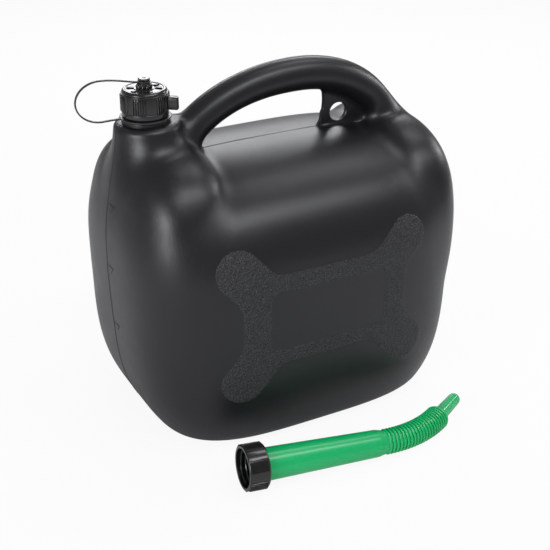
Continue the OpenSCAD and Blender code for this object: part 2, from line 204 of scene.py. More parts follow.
def canFinish():
    look = Finish("mouldedBlack", {"Specular IOR Level": 0.5})
    x, y, z = look.axes()

    def roundBox(box):
        midX, midZ, halfX, halfZ, corner = box
        dx = ((x - midX).size() - (halfX - corner)).most(0.0)
        dz = ((z - midZ).size() - (halfZ - corner)).most(0.0)
        return (dx * dx + dz * dz).root() - corner

    edge = roundBox(grain["frame"])
    for fromX, fromZ, toX, toZ, radius in grain["lobes"]:
        runX, runZ = toX - fromX, toZ - fromZ
        share = ((x - fromX) * runX + (z - fromZ) * runZ) / (runX ** 2 + runZ ** 2)
        share = share.most(0.0).least(1.0)
        dx, dz = x - fromX - share * runX, z - fromZ - share * runZ
        edge = edge.softLeast((dx * dx + dz * dz).root() - radius, grain["lobeJoin"])
    window = roundBox(grain["window"])
    onBroadSide = y.size().step(grain["reach"], grain["reach"] + 4.0)
    mask = (-edge).least(window).step(*grain["fade"]) * onBroadSide
    cells = look.add("ShaderNodeTexVoronoi", {"feature": "SMOOTH_F1"},
                     {"Vector": look.place, "Scale": perMetre / grain["pebble"],
                      "Smoothness": grain["pebbleSoft"], "Randomness": 1.0})
    pebbles = cells.step(0.15, 0.62, 1.0, 0.0)
    # painted highlight: light flecks in the base colour stand in for glints on the pebble tops,
    # inside the grain field
    paintedGlints = look.noise(grain["glintSize"], detail=1.0, rough=0.5).step(0.53, 0.66) * mask
    facing = look.add("ShaderNodeSeparateXYZ", {},
                      [look.add("ShaderNodeTexCoord", output="Normal")])
    endOn = Wire(look, facing.socket.node.outputs[0]).size().step(0.55, 0.8)
    # the streaks run upright: they change along x on the broad sides, along y on the narrow ones
    long = streak["length"]
    broad = look.noise(streak["width"], (1.0, long, long), 3.0, 0.7)
    narrow = look.noise(streak["width"], (long, 1.0, long), 3.0, 0.7)
    streaks = broad + endOn * (narrow - broad)
    cloud = look.noise(skin["cloud"], detail=3.0)
    wear = look.noise(scuff["width"], (1.0, scuff["length"], scuff["length"]), 1.0, 0.5)
    scuffs = wear.step(0.66, 0.76) * cloud.step(0.45, 0.6) * (1.0 - mask)
    offSeam = y.size().step(0.25, 0.6)
    # the base colour is lighter at the painted highlight flecks and at the scuffs, which are wear
    colour = look.tint(paintedGlints * grain["glintShare"] + scuffs * scuff["share"],
                       skin["dark"], skin["light"])
    rough = (skin["rough"] + skin["cloudRough"] * cloud + streak["rough"] * streaks
             + mask * grain["extraRough"])
    height = look.bump(streaks, streak["rise"], 0.9)
    height = look.bump(mask * pebbles, grain["pebbleRise"], 1.0, height)
    height = look.bump(offSeam, skin["seamRise"], 0.5, height)
    return look.link(Base_Color=colour, Roughness=rough, Normal=height)


def plasticFinish(name, dark, light, rough, coat, grainSize=1.4, depth=0.03, fixed=None):
    look = Finish(name, {"Specular IOR Level": 0.5, "Coat Weight": coat, "Coat Roughness": 0.12,
                         **(fixed or {})})
    fine = look.noise(grainSize, detail=3.0)
    cloud = look.noise(18.0, detail=2.0)
    colour = look.tint(cloud, dark, light)
    return look.link(Base_Color=colour, Roughness=rough + 0.10 * fine + 0.06 * cloud,
                     Normal=look.bump(fine, depth, 0.4))


canBlack = canFinish()
capBlack = plasticFinish("glossBlack", (0.0035, 0.0035, 0.0040), (0.007, 0.007, 0.008),
                         0.16, 0.35, 1.4, 0.012)
tetherGrey = plasticFinish("tetherGrey", (0.018, 0.018, 0.019), (0.028, 0.028, 0.030), 0.30, 0.1)
spoutGreen = plasticFinish("spoutGreen", (0.002, 0.46, 0.140), (0.003, 0.53, 0.165),
                           0.24, 0.15, 4.0, 0.01,
                           {"Subsurface Weight": 0.35, "Subsurface Radius": (0.3, 1.0, 0.5),
                            "Subsurface Scale": 0.003})
sealBlack = plasticFinish("sealRubber", (0.020, 0.020, 0.020), (0.035, 0.035, 0.035),
                          0.6, 0.0, 0.8, 0.05)
print("finishes made")


# mesh tools: a shape is a list of points and a list of faces, in millimetres
def rounded(points, radius, steps=4, closed=True):
    # the corners of a polygon, each cut by a short curve
    points = [np.array(p, float) for p in points]
    result = []
    for i, corner in enumerate(points):
        if not closed and i in (0, len(points) - 1):
            result.append(corner)
            continue
        before, after = points[i - 1], points[(i + 1) % len(points)]
        toBefore, toAfter = before - corner, after - corner
        cut = min(radius, 0.45 * np.linalg.norm(toBefore), 0.45 * np.linalg.norm(toAfter))
        start = corner + toBefore / np.linalg.norm(toBefore) * cut
        end = corner + toAfter / np.linalg.norm(toAfter) * cut
        for t in np.linspace(0.0, 1.0, steps):
            result.append(start * (1 - t) ** 2 + corner * 2 * t * (1 - t) + end * t * t)
    return result


def gridFaces(rows, columns, wrapRows, wrapColumns):
    faces = []
    for i in range(rows if wrapRows else rows - 1):
        for j in range(columns if wrapColumns else columns - 1):
            i2, j2 = (i + 1) % rows, (j + 1) % columns
            faces.append((i * columns + j, i * columns + j2,
                          i2 * columns + j2, i2 * columns + j))
    return faces


def turned(profile, segments=96, closed=True, lobes=0, depth=0.0, lobeAbove=0.0):
    # a profile of (radius, height) turned about Z; lobes scallop its outside
    points = []
    for radius, height in profile:
        for k in range(segments):
            angle = 2 * math.pi * k / segments
            r = radius
            if lobes and radius > lobeAbove:
                cut = depth * (0.5 - 0.5 * math.cos(lobes * angle))
                r -= cut * min(1.0, (radius - lobeAbove))
            points.append((r * math.cos(angle), r * math.sin(angle), height))
    return points, gridFaces(len(profile), segments, closed, True)


def slab(outline, low, high, radius=0.4, steps=3):
    # an upright prism on an outline of (x, y) with rounded upper and lower rims
    middle = np.mean([np.array(p, float) for p in outline], axis=0)
    levels = []
    for t in np.linspace(0.0, math.pi / 2, steps):
        levels.append((radius * (1 - math.cos(t)), high - radius * (1 - math.sin(t))))
    lowLevels = [(inset, low + (high - level)) for inset, level in reversed(levels)]
    points = []
    for inset, level in lowLevels + levels:
        for p in outline:
            p = np.array(p, float)
            away = p - middle
            scale = 1.0 - inset / max(np.linalg.norm(away), 0.001)
            q = middle + away * scale
            points.append((q[0], q[1], level))
    n, rows = len(outline), 2 * steps
    faces = gridFaces(rows, n, False, True)
    faces.append(tuple(reversed(range(n))))
    faces.append(tuple((rows - 1) * n + k for k in range(n)))
    return points, faces


def moved(shape, matrix):
    points, faces = shape
    return [tuple(matrix @ Vector(p)) for p in points], faces


# turn between two faces, in degrees, from which their edge stays sharp
sharpTurn = {"piece": 38.0, "grown": 40.0, "can": 32.0}
weldDistance = 1e-7


def makePiece(name, shapes, material, place=None):
    # one object from several shapes, its points turned from millimetres to metres
    points, faces = [], []
    for shapePoints, shapeFaces in shapes:
        first = len(points)
        points += [tuple(p) for p in shapePoints]
        faces += [tuple(first + k for k in face) for face in shapeFaces]
    mesh = bpy.data.meshes.new(name)
    mesh.from_pydata(points, [], faces)
    if place:
        mesh.transform(place)
    mesh.transform(Matrix.Scale(mm, 4))
    cleaned = bmesh.new()
    cleaned.from_mesh(mesh)
    bmesh.ops.remove_doubles(cleaned, verts=cleaned.verts, dist=weldDistance)
    bmesh.ops.dissolve_degenerate(cleaned, edges=cleaned.edges, dist=weldDistance)
    bmesh.ops.recalc_face_normals(cleaned, faces=cleaned.faces)
    cleaned.to_mesh(mesh)
    cleaned.free()
    mesh.materials.append(material)
    piece = bpy.data.objects.new(name, mesh)
    bpy.context.scene.collection.objects.link(piece)
    smooth(piece, sharpTurn["piece"])
    return piece


def smooth(piece, sharp):
    mesh = piece.data
    mesh.polygons.foreach_set("use_smooth", [True] * len(mesh.polygons))
    mesh.set_sharp_from_angle(angle=math.radians(sharp))
    mesh.update()


def settle(piece, body, slot, *nodes):
    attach(piece, body)
    if nodes:
        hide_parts(*nodes)
    return piece


# node trees that make what repeats
def newTree(name, inputs):
    tree = bpy.data.node_groups.new(name, "GeometryNodeTree")
    tree.interface.new_socket("Geometry", in_out="INPUT", socket_type="NodeSocketGeometry")
    for label, kind, value in inputs:
        socket = tree.interface.new_socket(label, in_out="INPUT", socket_type="NodeSocket" + kind)
        if value is not None:
            socket.default_value = value
    tree.interface.new_socket("Geometry", in_out="OUTPUT", socket_type="NodeSocketGeometry")
    graph = Graph(tree)
    entry = tree.nodes.new("NodeGroupInput")
    graph.inputs = {s.name: Wire(graph, s) for s in entry.outputs if s.name}
    return graph


def endTree(graph, geometry):
    realized = graph.add("GeometryNodeRealizeInstances", {}, [geometry])
    painted = graph.add("GeometryNodeSetMaterial", {}, {"Geometry": realized,
                                                        "Material": graph.inputs["Material"]})
    leave = graph.tree.nodes.new("NodeGroupOutput")
    graph.tree.links.new(painted.socket, leave.inputs[0])
    return graph.tree


def ribGroupTree():
    # copies of one rib about Z, in groups with smooth stretches between
    graph = newTree("ribGroups", [("Groups", "Int", 6), ("Ribs", "Int", 8), ("Step", "Float", 0.08),
                                  ("Turn", "Float", 0.0), ("Material", "Material", None)])
    groups, ribs = graph.inputs["Groups"], graph.inputs["Ribs"]
    points = graph.add("GeometryNodePoints", {}, {"Count": groups * ribs})
    index = graph.add("GeometryNodeInputIndex")
    group = ((index + 0.5) / ribs).floor()
    angle = (graph.inputs["Turn"] + group * (2 * math.pi) / groups
             + (index - group * ribs - (ribs - 1.0) / 2.0) * graph.inputs["Step"])
    turn = graph.add("ShaderNodeCombineXYZ", {}, {"Z": angle})
    turn = graph.add("FunctionNodeEulerToRotation", {}, [turn])
    copies = graph.add("GeometryNodeInstanceOnPoints", {}, {
        "Points": points, "Instance": graph.inputs["Geometry"], "Rotation": turn})
    return endTree(graph, copies)


def beadTree():
    # a round bead along the input curve
    graph = newTree("bead", [("Radius", "Float", 0.0004), ("Sides", "Int", 8),
                             ("Material", "Material", None)])
    profile = graph.add("GeometryNodeCurvePrimitiveCircle", {}, {
        "Resolution": graph.inputs["Sides"], "Radius": graph.inputs["Radius"]})
    swept = graph.add("GeometryNodeCurveToMesh", {}, {"Curve": graph.inputs["Geometry"],
                      "Profile Curve": profile, "Fill Caps": True})
    return endTree(graph, swept)


def ringTree():
    # round rings threaded on the input curve at even steps
    graph = newTree("rings", [("Rings", "Int", 17), ("Radius", "Float", 0.009),
                              ("Bead", "Float", 0.001), ("Material", "Material", None)])
    path = graph.add("GeometryNodeCurvePrimitiveCircle", {}, {
        "Resolution": 48, "Radius": graph.inputs["Radius"]})
    profile = graph.add("GeometryNodeCurvePrimitiveCircle", {}, {
        "Resolution": 14, "Radius": graph.inputs["Bead"]})
    ring = graph.add("GeometryNodeCurveToMesh", {}, {"Curve": path, "Profile Curve": profile})
    spaced = graph.add("GeometryNodeResampleCurve", {}, {"Curve": graph.inputs["Geometry"],
                       "Count": graph.inputs["Rings"]})
    tangent = graph.add("GeometryNodeInputTangent")
    aim = graph.add("FunctionNodeAlignRotationToVector", {"axis": "Z"}, {"Vector": tangent})
    copies = graph.add("GeometryNodeInstanceOnPoints", {}, {"Points": spaced, "Instance": ring,
                                                            "Rotation": aim})
    return endTree(graph, copies)


trees = {"ribs": ribGroupTree(), "bead": beadTree(), "rings": ringTree()}


def grow(name, source, tree, values, material, place=None):
    # runs a node tree on an object and keeps the result as a plain mesh
    modifier = source.modifiers.new("make", "NODES")
    modifier.node_group = tree
    sockets = {s.name: s.identifier for s in tree.interface.items_tree if s.in_out == "INPUT"}
    for label, value in {**values, "Material": material}.items():
        modifier[sockets[label]] = value
    bpy.context.view_layer.update()
    found = source.evaluated_get(bpy.context.evaluated_depsgraph_get())
    mesh = bpy.data.meshes.new_from_object(found)
    source.modifiers.remove(modifier)
    bpy.data.objects.remove(source)
    if place:
        mesh.transform(place)
    mesh.name = name
    if not mesh.materials:
        mesh.materials.append(material)
    piece = bpy.data.objects.new(name, mesh)
    bpy.context.scene.collection.objects.link(piece)
    smooth(piece, sharpTurn["grown"])
    return piece


def curveOf(name, lines, closed=False):
    data = bpy.data.curves.new(name, "CURVE")
    data.dimensions = "3D"
    for line in lines:
        spline = data.splines.new("POLY")
        spline.points.add(len(line) - 1)
        for point, place in zip(spline.points, line):
            point.co = (*(float(v) * mm for v in place), 1.0)
        spline.use_cyclic_u = closed
    curve = bpy.data.objects.new(name, data)
    bpy.context.scene.collection.objects.link(curve)
    return curve


# the moulded can; its values are those of the solid, in millimetres
can = {
    "length": 286.0, "depth": 208.0, "topZ": 226.0, "beltZ": 142.0, "footDrop": 165.0,
    "planPower": 3.6, "roofPower": 2.35, "footPower": 4.4, "baseRound": 12.0, "wall": 2.6,
    "shoulders": ((-97.0, 46.0, 240.0), (109.0, 39.0, 231.0)),
    "shoulderY": 85.0, "shoulderFootZ": 149.0, "shoulderPower": 2.6, "crease": 5.0,
    "gripR": 13.7, "crownZ": 273.0, "crownX": 21.5, "arcFront": 111.0, "arcRear": 92.0,
    "arcH": 76.0, "arcPower": 2.1, "fillet": 16.0,
    "webT": 4.0, "webX": 43.5, "webHollow": 5.0, "webJoin": 3.0,
    "holeR": 7.75, "holeX": 63.0, "holeZ": 235.5,
    "neckX": -106.0, "pillarZ": 254.7, "pillarR": 24.5, "pillarRound": 5.0,
    "skinLow": (-150.0, 0.0, -4.0), "skinHigh": (152.0, 108.0, 290.0), "cell": 2.3,
    "roomLow": (-148.0, 0.0, -2.0), "roomHigh": (150.0, 108.0, 286.0), "roomCell": 4.5,
    "grainRise": 0.3,
}


def join(p, q, k):
    return np.minimum(p, q) - np.maximum(k - np.abs(p - q), 0.0) ** 2 / (4 * k)


def tank(x, y, z, w):
    up = z > can["beltZ"]
    reach = np.where(up, can["topZ"] - can["beltZ"], can["footDrop"]) - w
    power = np.where(up, can["roofPower"], can["footPower"])
    half = can["depth"] / 2 - w
    rise = np.abs(z - can["beltZ"]) / reach
    across = ((np.abs(y) / half) ** power + rise ** power) ** (1 / power)
    along = np.abs(x) / (can["length"] / 2 - w)
    p = can["planPower"]
    return ((along ** p + across ** p) ** (1 / p) - 1) * half


def shoulder(x, y, z, w, middle, half, top):
    p, foot = can["shoulderPower"], can["shoulderFootZ"]
    total = ((np.abs(x - middle) / (half - w)) ** p + (np.abs(y) / (can["shoulderY"] - w)) ** p
             + (np.abs(z - foot) / (top - foot - w)) ** p)
    return (total ** (1 / p) - 1) * (half - w)


def pillar(x, y, z, w):
    away = np.hypot(x - can["neckX"], y)
    return np.maximum(-join(can["pillarR"] - w - away, can["pillarZ"] - w - z, can["pillarRound"]),
                      can["shoulderFootZ"] - z)


def grip(x, y, z, w):
    dx, dz = x - can["crownX"], z - can["crownZ"] + can["arcH"]
    p = can["arcPower"]
    reach = np.where(dx > 0, can["arcRear"], can["arcFront"])
    share = ((np.abs(dx) / reach) ** p + (np.maximum(dz, 0) / can["arcH"]) ** p) ** (1 / p)
    off = np.hypot(dx, dz) * (1 - 1 / np.maximum(share, 0.01))
    return np.maximum(np.hypot(off, y) - can["gripR"] + w, -dz)


def gripAxisZ(x):
    dx = x - can["crownX"]
    share = (np.abs(dx) / np.where(dx > 0, can["arcRear"], can["arcFront"])) ** can["arcPower"]
    rise = np.maximum(1 - share, 0) ** (1 / can["arcPower"])
    return can["crownZ"] - can["arcH"] + can["arcH"] * rise


def web(x, y, z):
    low, high = can["topZ"] - can["wall"], float(gripAxisZ(np.array(can["webX"])))
    t = np.clip((z - low) / (high - low), 0, 1)
    free = can["webX"] + can["webHollow"] * np.sin(math.pi * t) - x
    above = z - gripAxisZ(x)
    return np.maximum.reduce([np.abs(y) - can["webT"] / 2, free, above, low - 8 - z,
                              x - can["crownX"] - 0.85 * can["arcRear"]])


def grainDepth(x, y, z):
    def roundBox(box):
        midX, midZ, halfX, halfZ, corner = box
        return np.hypot(np.maximum(np.abs(x - midX) - halfX + corner, 0),
                        np.maximum(np.abs(z - midZ) - halfZ + corner, 0)) - corner
    edge = roundBox(grain["frame"])
    for fromX, fromZ, toX, toZ, radius in grain["lobes"]:
        runX, runZ = toX - fromX, toZ - fromZ
        share = np.clip(((x - fromX) * runX + (z - fromZ) * runZ) / (runX ** 2 + runZ ** 2), 0, 1)
        edge = join(edge, np.hypot(x - fromX - share * runX, z - fromZ - share * runZ) - radius,
                    grain["lobeJoin"])
    inside = np.minimum(-edge, roundBox(grain["window"]))
    return np.clip(inside / 2.0, 0, 1) * (np.abs(y) > grain["reach"]) * can["grainRise"]


def body(x, y, z, w):
    made = tank(x, y, z, w)
    for middle, half, top in can["shoulders"]:
        made = join(made, shoulder(x, y, z, w, middle, half, top), can["crease"])
    made = join(made, pillar(x, y, z, w), can["fillet"])
    made = join(made, grip(x, y, z, w), 0.6 * can["fillet"])
    return -join(-made, z - w, can["baseRound"])


def outside(x, y, z):
    made = body(x, y, z, 0.0) - grainDepth(x, y, z)
    return join(made, web(x, y, z), can["webJoin"])


def inside(x, y, z):
    return body(x, y, z, can["wall"])


def netSkin(field, low, high, cell):
    # one point for each grid cell that the skin passes, then faces across the crossed edges
    halfCount = int(math.ceil(high[1] / cell))
    axes = [np.arange(low[0], high[0] + cell, cell),
            (np.arange(2 * halfCount) - halfCount + 0.5) * cell,
            np.arange(low[2], high[2] + cell, cell)]
    x, y, z = np.meshgrid(axes[0], axes[1][halfCount:], axes[2], indexing="ij")
    value = field(x, y, z)
    value = np.concatenate([value[:, ::-1, :], value], axis=1)
    solid = value < 0
    nx, ny, nz = solid.shape
    count = sum(solid[i:nx - 1 + i, j:ny - 1 + j, k:nz - 1 + k].astype(int)
                for i in (0, 1) for j in (0, 1) for k in (0, 1))
    cells = np.argwhere((count > 0) & (count < 8))
    number = np.full((nx - 1, ny - 1, nz - 1), -1)
    number[tuple(cells.T)] = np.arange(len(cells))
    total, hits = np.zeros((len(cells), 3)), np.zeros(len(cells))
    faces = []
    for axis in range(3):
        unit = np.eye(3, dtype=int)[axis]
        b, c = [k for k in range(3) if k != axis]
        for jb in (0, 1):
            for jc in (0, 1):
                start = cells.copy()
                start[:, b] += jb
                start[:, c] += jc
                first, last = value[tuple(start.T)], value[tuple((start + unit).T)]
                crossed = (first < 0) != (last < 0)
                share = first[crossed] / (first[crossed] - last[crossed])
                total[crossed] += start[crossed] + share[:, None] * unit
                hits[crossed] += 1
        ahead = np.roll(solid, -1, axis)
        edges = solid != ahead
        trimmed = [slice(1, n - 1) for n in solid.shape]
        trimmed[axis] = slice(0, solid.shape[axis] - 1)
        keep = np.zeros_like(edges)
        keep[tuple(trimmed)] = edges[tuple(trimmed)]
        start = np.argwhere(keep)
        corners = []
        for jb, jc in ((1, 1), (0, 1), (0, 0), (1, 0)):
            corner = start.copy()
            corner[:, b] -= jb
            corner[:, c] -= jc
            corners.append(number[tuple(corner.T)])
        quads = np.stack(corners, axis=1)
        flip = solid[tuple(start.T)] != (axis == 1)
        quads[~flip] = quads[~flip][:, ::-1]
        faces.append(quads)
    origin = np.array([axes[0][0], axes[1][0], axes[2][0]])
    points = origin + cell * total / hits[:, None]
    for turnNo in range(5):
        here = field(*points.T)
        slope = np.stack([(field(*(points + d).T) - field(*(points - d).T)) / 0.4
                          for d in 0.2 * np.eye(3)], axis=1)
        length = np.maximum((slope ** 2).sum(1), 0.04)
        points -= np.clip(here / length, -cell, cell)[:, None] * slope
    return points, np.concatenate(faces)


def meshOf(name, points, faces):
    mesh = bpy.data.meshes.new(name)
    mesh.from_pydata((points * mm).tolist(), [], faces.tolist())
    made = bpy.data.objects.new(name, mesh)
    bpy.context.scene.collection.objects.link(made)
    return made


def cutAway(piece, cutter):
    modifier = piece.modifiers.new("cut", "BOOLEAN")
    modifier.operation = "DIFFERENCE"
    modifier.solver = "MANIFOLD"
    modifier.object = cutter
    bpy.context.view_layer.update()
    found = piece.evaluated_get(bpy.context.evaluated_depsgraph_get())
    mesh = bpy.data.meshes.new_from_object(found)
    piece.modifiers.remove(modifier)
    piece.data = mesh
    bpy.data.objects.remove(cutter)


neck = {
    "collarR": 18.5, "collarZ": 258.3, "coreR": 13.9, "mouthR": 12.0, "topZ": 276.3, "footZ": 250.6,
    "boreLow": 235.0, "boreHigh": 262.0, "round": 0.7,
    "threadR": 1.1, "threadPitch": 4.0, "threadTurns": 2.6, "threadZ": 262.8,
}


def makeCan():
    shell = meshOf("canShell", *netSkin(outside, can["skinLow"], can["skinHigh"], can["cell"]))
    print("can's skin:", len(shell.data.polygons), "faces")
    room = meshOf("room", *netSkin(inside, can["roomLow"], can["roomHigh"], can["roomCell"]))
    cutAway(shell, room)
    atNeck = Matrix.Translation((can["neckX"], 0, 0))
    n = neck
    boreLine = [(0.0, n["boreLow"]), (n["mouthR"], n["boreLow"]), (n["mouthR"], n["boreHigh"]),
                (0.0, n["boreHigh"])]
    bore = makePiece("bore", [turned(boreLine, 64, False)], canBlack, atNeck)
    cutAway(shell, bore)
    r = can["holeR"]
    # the cutter widens beyond the web, so the hole gets a rounded rim
    holeLine = [(0.0, -9.0), (r + 3.0, -9.0), (r + 0.7, -2.15), (r, -1.3),
                (r, 1.3), (r + 0.7, 2.15), (r + 3.0, 9.0), (0.0, 9.0)]
    atHole = (Matrix.Translation((can["holeX"], 0, can["holeZ"]))
              @ Matrix.Rotation(math.radians(90), 4, "X"))
    hole = makePiece("hole", [turned(holeLine, 64, False)], canBlack, atHole)
    cutAway(shell, hole)
    shell.data.materials.clear()
    shell.data.materials.append(canBlack)
    smooth(shell, sharpTurn["can"])
    settle(shell, "can", "black_polyethylene", "canister")
    profile = rounded([(n["mouthR"], n["footZ"]), (n["collarR"], n["footZ"]),
                       (n["collarR"], n["collarZ"]), (n["coreR"], n["collarZ"]),
                       (n["coreR"], n["topZ"]), (n["mouthR"], n["topZ"])], n["round"])
    collar = makePiece("canNeck", [turned(profile)], canBlack, atNeck)
    settle(collar, "can", "black_polyethylene")
    thread = helix(n["coreR"] + 0.05, n["threadZ"], n["threadPitch"], n["threadTurns"],
                   can["neckX"])
    thread = grow("neckThread", curveOf("threadLine", [thread]), trees["bead"],
                  {"Radius": n["threadR"] * mm, "Sides": 10}, canBlack)
    settle(thread, "can", "black_polyethylene")


def helix(radius, low, pitch, turns, middleX=0.0, count=40):
    steps = np.linspace(0.0, turns, int(count * turns))
    return [(middleX + radius * math.cos(2 * math.pi * t), radius * math.sin(2 * math.pi * t),
             low + pitch * t) for t in steps]


seam = {"fan": (12.0, 240.0), "bead": 0.42, "sink": 0.16, "steps": 360}


def edgeAt(angle, far=True):
    # where a ray from the middle of the hand gap meets the skin's outline
    def value(r):
        return float(outside(np.array([seam["fan"][0] + r * math.cos(angle)]), np.array([0.0]),
                             np.array([seam["fan"][1] + r * math.sin(angle)]))[0])
    r, pace = (300.0, -2.0) if far else (0.0, 2.0)
    while value(r) > 0:
        r += pace
    a, b = r - pace, r
    for turnNo in range(18):
        middle = (a + b) / 2
        a, b = (middle, b) if value(middle) > 0 else (a, middle)
    return b - seam["sink"] if far else b + seam["sink"]


def makeSeam():
    lines = []
    for far in (True, False):
        line = []
        for k in range(seam["steps"]):
            angle = 2 * math.pi * k / seam["steps"]
            r = edgeAt(angle, far)
            z = max(seam["fan"][1] + r * math.sin(angle), seam["bead"] + 0.05)
            line.append((seam["fan"][0] + r * math.cos(angle), 0.0, z))
        lines.append(line)
    bead = grow("partingLine", curveOf("seamLine", lines, True), trees["bead"],
                {"Radius": seam["bead"] * mm, "Sides": 6}, canBlack)
    settle(bead, "can", "black_polyethylene")


# each mark is a level tick with a short slanting stroke back from its far end
levels = {"marks": (195.0, 143.5, 91.7), "y": -3.0, "tick": 9.0, "slant": (5.0, -5.5),
          "bead": 0.35, "rise": 0.05}


def skinX(y, z):
    # the narrow side's skin towards the neck
    a, b = -160.0, -60.0
    for turnNo in range(24):
        middle = (a + b) / 2
        if float(outside(np.array([middle]), np.array([y]), np.array([z]))[0]) > 0:
            a = middle
        else:
            b = middle
    return a


def makeLevels():
    lines = []
    y, tick = levels["y"], levels["tick"]
    aside, down = levels["slant"]
    for z in levels["marks"]:
        strokes = [[(y - t, z) for t in np.linspace(0, tick, 8)],
                   [(y - tick + aside * t, z + down * t) for t in np.linspace(0, 1, 6)]]
        for stroke in strokes:
            lines.append([(skinX(a, b) + levels["rise"], a, b) for a, b in stroke])
    marks = grow("levelMarks", curveOf("levelLines", lines), trees["bead"],
                 {"Radius": levels["bead"] * mm, "Sides": 6}, canBlack)
    settle(marks, "can", "black_polyethylene")


makeCan()
makeSeam()
makeLevels()
print("can made")


# the screw cap, in millimetres above its lower edge
cap = {
    "x": -106.0, "z": 260.1, "h": 21.2, "boreR": 15.3, "skirtR": 17.85, "stepH": 2.8, "topT": 3.0,
    "lipH": 4.7, "ribDepth": 0.9, "groups": 6, "ribs": 6, "step": 6.0, "turn": -6.0,
    "tabTurn": -38.0, "tabOut": 8.0, "tabT": 5.0, "tabUp": 5.7, "tabH": 9.7,
    "knobR": 6.5, "knobH": 4.0, "shankR": 2.8, "lobes": 9,
    "ridges": 5, "ridgeStep": 1.35,
    "pads": (150.0, 205.0, 15.0, 332.0, 75.0, 270.0),    # turn of each raised pad on the top
    "threadR": 0.8, "threadPitch": 4.0, "threadTurns": 2.4, "threadUp": 4.6,
}
ribWidth = 1.0
gasketR, gasketT = 15.0, 2.0


def ribBar(radius, depth, width, low, high):
    # one grip rib with a rounded crest, standing on the skirt
    outline = [(radius - depth, -width / 2), (radius + depth * 0.45, -width / 2),
               (radius + depth * 0.95, -width * 0.2), (radius + depth * 0.95, width * 0.2),
               (radius + depth * 0.45, width / 2), (radius - depth, width / 2)]
    return slab(outline, low, high, 0.25, 3)


def ribValues():
    return {"Groups": cap["groups"], "Ribs": cap["ribs"], "Step": math.radians(cap["step"]),
            "Turn": math.radians(cap["turn"])}


def capBody(h, r):
    # skirt with its lip and step, the dished top, and the core of the knob
    c = cap
    profile = [(c["boreR"], 0.0), (r - 0.9, 0.0), (r, 0.9), (r, c["lipH"] - 0.4),
               (r - 0.35, c["lipH"]), (r, c["lipH"] + 0.4), (r, h - c["stepH"]),
               (r - 0.7, h - c["stepH"]), (r - 0.7, h - 1.4), (r - 2.0, h), (r - 3.2, h),
               (r - 3.6, h - 0.45), (c["knobR"] + 1.6, h - 0.45), (c["knobR"] + 1.2, h)]
    core = c["knobR"] - 1.3
    floor = h - c["topT"] + 1.0
    knob = [(core, h), (core, h + c["knobH"]), (c["shankR"], h + c["knobH"]),
            (c["shankR"], floor), (0.0, floor)]
    under = [np.array((0.0, h - c["topT"])), np.array((c["boreR"], h - c["topT"]))]
    return turned(rounded(profile + knob, 0.45, 4, False) + under, 120, True)


def capTab(r):
    # the side tab and the ridges on both its faces
    c = cap
    half, end = c["tabT"] / 2, r + c["tabOut"] - 0.1
    low, high = c["tabUp"], c["tabUp"] + c["tabH"]
    outline = rounded([(r - 0.8, -half), (end, -half), (end, half), (r - 0.8, half)], 0.7)
    shapes = [slab(outline, low, high, 0.5)]
    for k in range(c["ridges"]):
        for side in (-1, 1):
            x = r + 1.4 + k * c["ridgeStep"]
            y = side * half
            ridge = [(x - 0.35, y - 0.3), (x + 0.35, y - 0.3), (x + 0.35, y + 0.3),
                     (x - 0.35, y + 0.3)]
            shapes.append(slab(ridge, low + 0.9, high - 0.9, 0.15, 2))
    turn = Matrix.Rotation(math.radians(c["tabTurn"]), 4, "Z")
    return [moved(shape, turn) for shape in shapes]


def capPads(h):
    pad = rounded([(8.2, -1.3), (13.4, -1.6), (13.4, 1.6), (8.2, 1.3)], 0.5)
    return [moved(slab(pad, h - 0.8, h + 0.35, 0.25, 3),
                  Matrix.Rotation(math.radians(angle), 4, "Z")) for angle in cap["pads"]]


def capLobes(h):
    # round bulbs in a ring make the knob's lobed side
    bulb = turned([(0.0, h - 0.4), (1.5, h - 0.2), (1.72, h + 0.9), (1.55, h + 2.3),
                   (1.0, h + 3.1), (0.0, h + 3.35)], 20, False)
    away = cap["knobR"] - 1.75
    angles = [2 * math.pi * k / cap["lobes"] for k in range(cap["lobes"])]
    return [moved(bulb, Matrix.Translation((away * math.cos(a), away * math.sin(a), 0)))
            for a in angles]


def makeCap():
    c = cap
    h, r = c["h"], c["skirtR"]
    shapes = [capBody(h, r), *capTab(r), *capPads(h), *capLobes(h)]
    shell = makePiece("capShell", shapes, capBlack, Matrix.Translation((c["x"], 0, c["z"])))
    settle(shell, "cap", "black_cap", "screw_cap")
    low, high = c["lipH"] + 0.1, h - c["stepH"] - c["ribDepth"]
    rib = makePiece("capRib", [ribBar(r, c["ribDepth"], ribWidth, low, high)], capBlack)
    ribs = grow("capRibs", rib, trees["ribs"], ribValues(), capBlack,
                Matrix.Translation(Vector((c["x"], 0, c["z"])) * mm))
    settle(ribs, "cap", "black_cap")
    line = helix(c["boreR"], c["z"] + c["threadUp"], c["threadPitch"], c["threadTurns"], c["x"])
    thread = grow("capThread", curveOf("capThreadLine", [line]), trees["bead"],
                  {"Radius": c["threadR"] * mm, "Sides": 8}, capBlack)
    settle(thread, "cap", "black_cap")


def makeGasket(name, node, body, outer, bore, low, high, place):
    profile = rounded([(bore, low), (outer, low), (outer, high), (bore, high)], 0.35)
    seal = makePiece(name, [turned(profile, 72)], sealBlack, place)
    settle(seal, body, "seal_rubber", node)


button = {"low": 279.6, "shankR": 2.5, "headZ": 287.1, "headR": 5.0, "headT": 1.6,
          "lobes": 8, "lobeDepth": 1.1, "lobeAbove": 3.4}


